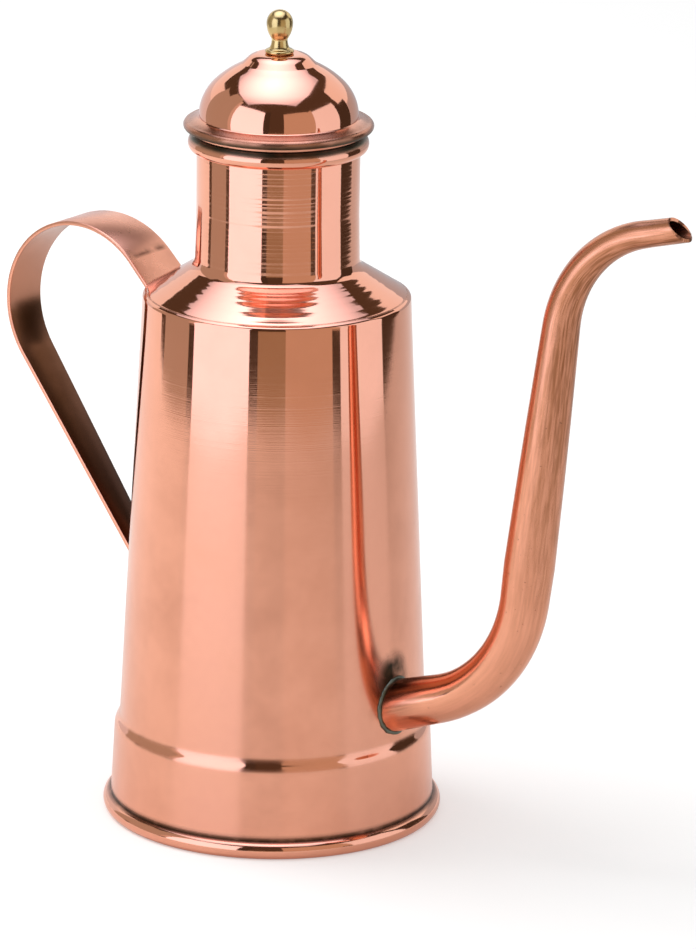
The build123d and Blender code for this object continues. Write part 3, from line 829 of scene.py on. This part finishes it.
# a wavy line of old flux crosses the strap above its upper tab
tide = times(
    strap_copper,
    along_height(strap_copper, [(0, 0), (169.0, 0), (169.5, 0.8), (169.9, 0.8), (170.5, 0), (200, 0)]),
    times(strap_copper, round_spot(strap_copper, (-47, 2, 170), 18), speckle(strap_copper, 130, 0.35, 0.5)),
)
lay_dirt_and_painted_light(strap_copper, tide, (0.16, 0.06, 0.03), 0.4)
dress(handle, strap_copper, "can", "copper_strap", "handle_strap")
strap_inside = copper("strap inside", 0.2, tarnish=0.5, ripples=0.1, brushed=0)
# painted reflection of the can's dark side: brown, stronger below the middle of the loop
painted_brown_reflection = times(
    strap_inside,
    by_height(strap_inside, 143, 148, 1, 0.55),
    speckle(strap_inside, 90, 0.2, 0.6, 0.85, 1),
)
lay_dirt_and_painted_light(strap_inside, painted_brown_reflection, (0.2, 0.075, 0.03), 0.25)
# painted reflection, darkening towards the foot of the loop
painted_dark_reflection = times(
    strap_inside,
    by_height(strap_inside, 90, 140, 0.9, 0.2),
    by_height(strap_inside, 140, 145, 1, 0),
)
lay_dirt_and_painted_light(strap_inside, painted_dark_reflection, (0.055, 0.018, 0.008), 0.25)
handle.data.materials.append(strap_inside)
within = Vector((-60, 0, 135)) * MM
tab_reach = 2.2
for face in handle.data.polygons:
    off_wall = -face.center.x / MM - wall_r(face.center.z / MM)
    inward = face.normal.dot(within - face.center) > 0 and abs(face.normal.y) < 0.6
    if off_wall > tab_reach and inward:
        face.material_index = 1

# Lid: a spun copper dome with a raised boss, hemmed round the flange of a collar that plugs the
# neck. Dirt has settled on the brim, where a cloth doesn't reach, and the hem is darker on its
# lower half.
hem_x = 27.5
hem_z = 217.25
hem_r = 1.35
dome_r = 24.2
dome_z = 219.95
dome_rise = 18.4
side_r = 14.5
side_x = dome_r - side_r
crown_r = (side_x**2 + dome_rise**2 - side_r**2) / (2 * (dome_rise - side_r))
crown_z = dome_z + dome_rise - crown_r
lid_sheet = 0.9
hem_slot = 0.45
swell_r = 12.6
boss_z = dome_z + dome_rise + 0.9
boss_foot = crown_z + math.sqrt(crown_r**2 - 11.2**2)
swell_foot = crown_z + math.sqrt(crown_r**2 - swell_r**2)
swell_turn = math.degrees(math.asin(swell_r / crown_r))
side_turn = math.degrees(math.atan((dome_z - crown_z) / side_x))


def dome_line(less):
    """Outside of the lid, or its inside when less is the sheet, from the axis to the flange."""
    line = rounded([
        (0, boss_z - less, 0),
        (8.1, boss_z - less, 5.2),
        (11.3, boss_foot + 0.1 - less, 1.2),
        (swell_r, swell_foot - less, 0),
    ], 0.5)
    line += arc(0, crown_z, crown_r - less, 90 - swell_turn, side_turn, 2)[1:]
    line += arc(side_x, dome_z, side_r - less, side_turn, 0, 3)[1:]
    return line


lid_outside = dome_line(0)
lid_outside += rounded([
    (dome_r, dome_z - 0.1, 0),
    (dome_r + 0.35, dome_z - 0.35, 0.2),
    (hem_x, hem_z + hem_r, 0),
], 0.6)
lid_outside += arc(hem_x, hem_z, hem_r, 84, -90, 12)
lid_outside += [Vector((hem_x - 1, hem_z - hem_r)), Vector((hem_x - 1, hem_z - hem_slot))]
lid_inside = dome_line(lid_sheet)
lid_inside += [Vector((23.3, hem_z + hem_slot)), Vector((hem_x, hem_z + hem_slot))]
lid_inside += [Vector((hem_x, hem_z - hem_slot))]
lid_dome = shell("lid_dome_spun", lid_outside, lid_inside, steps=192)
lid_copper = copper("lid copper", 0.06, tarnish=0.12, ripples=0.35)
brim = times(
    lid_copper,
    by_height(lid_copper, 218.7, 220.3, 1, 0),
    speckle(lid_copper, 160, 0.3, 0.65, 0.6, 1),
)
lay_dirt_and_painted_light(lid_copper, brim, (0.44, 0.19, 0.115), 0.3)
under_hem = times(
    lid_copper,
    by_height(lid_copper, 216.4, 218.1, 1, 0),
    speckle(lid_copper, 240, 0.25, 0.5, 0.8, 1),
)
lay_dirt_and_painted_light(lid_copper, under_hem, (0.09, 0.06, 0.035), 0.45)
dress(lid_dome, lid_copper, "lid", "copper_lid", "lid_dome")
repaint("lid_collar", dull_copper)

# Knob: turned brass on a round foot, with a flared neck and an egg-shaped ball. Its stud goes
# through the boss and is held inside by a steel washer and nut.
ball_z = boss_z + 9.4
ball_r = 4.0
ball_drop = 6.0
stud_r = 1.5
stud_end = 6.2
foot_bead = 0.65
knob_waist = 2.4
knob_flare = 1.35
knob_line = rounded([
    (0, boss_z - stud_end, 0),
    (stud_r, boss_z - stud_end, 0),
    (stud_r, boss_z, 0),
    (4.1, boss_z, 0),
], 1)
knob_line += arc(3.75, boss_z + foot_bead, foot_bead, -90, 90, 18)
for i in range(1, 13):
    turn = math.radians(7.5 * i)
    flare = knob_waist + knob_flare * (1 - math.sin(turn))
    knob_line.append(Vector((flare, boss_z + 1.3 + 3.1 * (1 - math.cos(turn)))))
for i in range(1, 19):
    turn = math.radians(-52 + 142 * i / 18)
    tall = ball_drop if turn < 0 else ball_r
    knob_line.append(Vector((ball_r * math.cos(turn), ball_z + tall * math.sin(turn))))
knob_line[-1] = Vector((0, ball_z + ball_r))
lid_knob = spun("lid_knob_turned", knob_line, steps=96)
brass = metal("turned brass", (0.66, 0.47, 0.2), 0.2, 220, 0.004)
dress(lid_knob, brass, "lid", "brass", "lid_knob")
steel = metal("plated steel", (0.5, 0.5, 0.48), 0.35, 700, 0.01)
for node in ("knob_washer", "knob_nut"):
    repaint(node, steel)

# Stage: a white floor under a white sky, and cards round the can that only its metal sees, as a
# studio has them: two white panels and two grey ones in front, dark flags behind them, a light
# box overhead. The can's spout is turned 36 degrees towards the camera.
camera_side = -54
card_rim = 0.62


def glow(name, color, strength, rim=None):
    """A card's face: an even light, next to none for a flag, or one that fades to a value at its rim."""
    finish = bpy.data.materials.new(name)
    finish.use_nodes = True
    tree = finish.node_tree
    tree.nodes.clear()
    leave = tree.nodes.new("ShaderNodeOutputMaterial")
    light = tree.nodes.new("ShaderNodeEmission")
    light.inputs["Color"].default_value = (*color, 1)
    light.inputs["Strength"].default_value = strength
    if rim:
        place = tree.nodes.new("ShaderNodeTexCoord")
        away = tree.nodes.new("ShaderNodeVectorMath")
        away.operation = "LENGTH"
        fade = tree.nodes.new("ShaderNodeMapRange")
        fade.inputs["From Max"].default_value = card_rim
        fade.inputs["To Min"].default_value = strength
        fade.inputs["To Max"].default_value = rim
        tree.links.new(place.outputs["Object"], away.inputs[0])
        tree.links.new(away.outputs["Value"], fade.inputs["Value"])
        tree.links.new(fade.outputs["Result"], light.inputs["Strength"])
    tree.links.new(light.outputs[0], leave.inputs["Surface"])
    return finish


def set_card(card, name, finish):
    """Makes a plane one of the stage's cards."""
    card.name = name
    card.data.materials.append(finish)
    card.visible_camera = False
    card.visible_diffuse = False
    card.visible_shadow = False


def upright(name, start, end, low, high, finish):
    """An upright card between two places: degrees to the right of the camera, and distance."""
    ends = [
        Vector((reach * math.cos(math.radians(camera_side + turn)),
                reach * math.sin(math.radians(camera_side + turn)), 0))
        for turn, reach in (start, end)
    ]
    middle = (ends[0] + ends[1]) / 2
    along = ends[1] - ends[0]
    bpy.ops.object.select_all(action="DESELECT")
    bpy.ops.mesh.primitive_plane_add(
        size=1,
        location=(middle.x, middle.y, (low + high) / 2),
        rotation=(math.pi / 2, 0, math.atan2(along.y, along.x)),
    )
    card = bpy.context.object
    card.scale = (along.length, high - low, 1)
    set_card(card, name, finish)


def overhead(name, right, back, wide, deep, height, turn, finish):
    """A level card over the can; right and back are as the camera sees them."""
    side = math.radians(camera_side)
    x = -back * math.cos(side) - right * math.sin(side)
    y = -back * math.sin(side) + right * math.cos(side)
    bpy.ops.object.select_all(action="DESELECT")
    bpy.ops.mesh.primitive_plane_add(
        size=1, location=(x, y, height), rotation=(0, 0, side + math.pi / 2 + math.radians(turn))
    )
    card = bpy.context.object
    card.scale = (wide, deep, 1)
    set_card(card, name, finish)


bright_card = glow("bright card", (1, 1.1, 1.36), 1.55)
soft_card = glow("soft card", (1, 1.08, 1.2), 1.02)
left_board = glow("left board", (0.47, 0.44, 0.38), 1)
left_corner = glow("left corner", (0.66, 0.58, 0.52), 1)
right_board = glow("right board", (0.59, 0.49, 0.385), 1)
front_board = glow("front board", (0.36, 0.3, 0.2), 1)
dark_card = glow("dark flag", (0.09, 0.065, 0.042), 1)
black_flag = glow("black flag", (0.065, 0.05, 0.035), 1)
dim_wall = glow("dim wall", (0.49, 0.53, 0.57), 1)
pale_wall = glow("pale wall", (0.78, 0.82, 0.88), 1)
box_light = glow("light box", (1, 1.08, 1.35), 2.9, rim=0.8)
upright("left board", (-106, 0.66), (-77, 0.66), 0, 1.0, left_board)
upright("left board corner", (-77, 0.66), (-71.5, 0.66), 0.06, 0.9, left_corner)
upright("far left board", (-128, 0.95), (-105, 0.95), 0, 1.0, left_board)
upright("left white card", (-71.5, 0.66), (-22, 0.745), 0, 0.74, bright_card)
upright("front board", (-15, 0.745), (7.5, 0.745), 0, 0.08, front_board)
upright("right board", (7.5, 0.745), (46.5, 0.73), 0, 0.7, right_board)
upright("right board corner", (46.5, 0.73), (53.5, 0.66), 0.06, 0.68, right_board)
upright("right white card", (53.5, 0.66), (97.5, 0.655), 0, 0.62, soft_card)
upright("left edge flag", (-112, 0.73), (-105.5, 0.67), 0, 0.06, dark_card)
upright("left gap flag", (-79, 0.68), (-69, 0.68), 0, 0.06, black_flag)
upright("front left flag", (-24, 0.77), (-13, 0.77), 0, 0.8, black_flag)
upright("front right flag", (44, 0.76), (56, 0.69), 0, 0.06, black_flag)
upright("right flag", (98, 0.655), (125, 0.82), 0, 0.1, black_flag)
upright("right upper flag", (95, 0.65), (124, 0.76), 0.1, 0.5, black_flag)
upright("far left flag", (-128, 1.15), (-60, 1.1), 0.5, 1.35, dark_card)
upright("far front flag", (-62, 1.35), (42, 1.35), 0, 1.35, dark_card)
upright("far right flag", (40, 1.15), (108, 1.15), 0, 1.3, dark_card)
upright("right back wall", (125, 1.0), (178, 1.0), 0, 0.42, dim_wall)
upright("left back wall", (-176, 1.0), (-128, 1.0), 0, 0.42, pale_wall)
overhead("light box", -0.1, 0.15, 1.35, 1.5, 1.23, -8, box_light)
overhead("ceiling flag", 0, -0.45, 3.0, 1.9, 1.32, 0, dark_card)
overhead("back ceiling flag", -0.15, 1.1, 2.2, 1.2, 1.32, 0, dark_card)

# Floor: white paper, its colour falling off to the right as painted shade that the metal shows. The
# camera sees it as white all over, apart from the can's own shadow.
paper_left = 0.9
paper_right = 0.6
bpy.ops.object.select_all(action="DESELECT")
bpy.ops.mesh.primitive_plane_add(size=30, location=(0, 0, 0))
floor = bpy.context.object
floor.name = "floor"
white = bpy.data.materials.new("white paper")
white.use_nodes = True
tree = white.node_tree
tree.nodes.clear()
leave = tree.nodes.new("ShaderNodeOutputMaterial")
paper = tree.nodes.new("ShaderNodeBsdfDiffuse")
where = tree.nodes.new("ShaderNodeTexCoord")
across = tree.nodes.new("ShaderNodeVectorMath")
across.operation = "DOT_PRODUCT"
side = math.radians(camera_side)
across.inputs[1].default_value = (-math.sin(side), math.cos(side), 0)
# painted shade: the paper's colour falls from left to right
fall = tree.nodes.new("ShaderNodeMapRange")
fall.inputs["From Min"].default_value = -0.25
fall.inputs["From Max"].default_value = 0.55
fall.inputs["To Min"].default_value = paper_left
fall.inputs["To Max"].default_value = paper_right
tree.links.new(where.outputs["Object"], across.inputs[0])
tree.links.new(across.outputs["Value"], fall.inputs["Value"])
tree.links.new(fall.outputs["Result"], paper.inputs["Color"])
lit = tree.nodes.new("ShaderNodeEmission")
seen = tree.nodes.new("ShaderNodeLightPath")
amount = tree.nodes.new("ShaderNodeMapRange")
amount.inputs["To Min"].default_value = 0.1
tree.links.new(seen.outputs["Is Camera Ray"], amount.inputs["Value"])
evened = tree.nodes.new("ShaderNodeMapRange")
evened.inputs["From Min"].default_value = paper_left
evened.inputs["From Max"].default_value = paper_right
evened.inputs["To Min"].default_value = 0.27
evened.inputs["To Max"].default_value = 0.42
tree.links.new(fall.outputs["Result"], evened.inputs["Value"])
tree.links.new(evened.outputs["Result"], amount.inputs["To Max"])
tree.links.new(amount.outputs["Result"], lit.inputs["Strength"])
both = tree.nodes.new("ShaderNodeAddShader")
tree.links.new(paper.outputs[0], both.inputs[0])
tree.links.new(lit.outputs[0], both.inputs[1])
tree.links.new(both.outputs[0], leave.inputs["Surface"])
floor.data.materials.append(white)

# Sky and lamp: the sky is white to the camera, the metal and any glass, and lights the can a
# little less. One broad soft lamp from the left gives the shadow its side.
world = bpy.data.worlds.new("white sky")
bpy.context.scene.world = world
world.use_nodes = True
tree = world.node_tree
sky = tree.nodes["Background"]
path = tree.nodes.new("ShaderNodeLightPath")
seen = tree.nodes.new("ShaderNodeMath")
seen.operation = "MAXIMUM"
tree.links.new(path.outputs["Is Camera Ray"], seen.inputs[0])
tree.links.new(path.outputs["Is Glossy Ray"], seen.inputs[1])
through = tree.nodes.new("ShaderNodeMath")
through.operation = "MAXIMUM"
tree.links.new(seen.outputs[0], through.inputs[0])
tree.links.new(path.outputs["Is Transmission Ray"], through.inputs[1])
level = tree.nodes.new("ShaderNodeMapRange")
level.inputs["To Min"].default_value = 0.75
level.inputs["To Max"].default_value = 1.0
tree.links.new(through.outputs[0], level.inputs["Value"])
tree.links.new(level.outputs["Result"], sky.inputs["Strength"])
sky.inputs["Color"].default_value = (1, 1, 1, 1)

lamp_place = Vector((-0.75, -0.15, 1.3))
lamp_aim = Vector((0, 0, 0.1))
bpy.ops.object.light_add(type="AREA", location=lamp_place)
lamp = bpy.context.object
lamp.name = "soft lamp"
lamp.data.size = 0.7
lamp.data.energy = 7
lamp.rotation_euler = (lamp_aim - lamp_place).to_track_quat("-Z", "Y").to_euler()
lamp.visible_glossy = False

# Camera: a long lens, above the can and looking down on it, with the spout to the right.
bpy.ops.object.camera_add(location=(1.06476, -1.46551, 0.65202))
camera = bpy.context.object
yaw = 0.01235
pitch = 0.29218
roll = 0.01399
spout_turn = math.radians(36)
ahead = Vector((math.sin(yaw) * math.cos(pitch), math.cos(yaw) * math.cos(pitch), -math.sin(pitch)))
right = Vector((math.cos(yaw), -math.sin(yaw), 0))
up = right.cross(ahead)
right, up = (
    right * math.cos(roll) + up * math.sin(roll),
    up * math.cos(roll) - right * math.sin(roll),
)


def to_row(v):
    """From the axes of the picture to the can's axes: the spout turned 36 degrees to the camera."""
    return Vector((
        v.x * math.cos(spout_turn) - v.y * math.sin(spout_turn),
        v.x * math.sin(spout_turn) + v.y * math.cos(spout_turn),
        v.z,
    ))


axes = Matrix((to_row(right), to_row(up), -to_row(ahead))).transposed()
camera.rotation_euler = axes.to_euler()
camera.data.lens = 233.75
camera.data.sensor_width = 36
camera.data.clip_start = 0.05
bpy.context.scene.camera = camera
bpy.context.scene.view_settings.view_transform = "Standard"
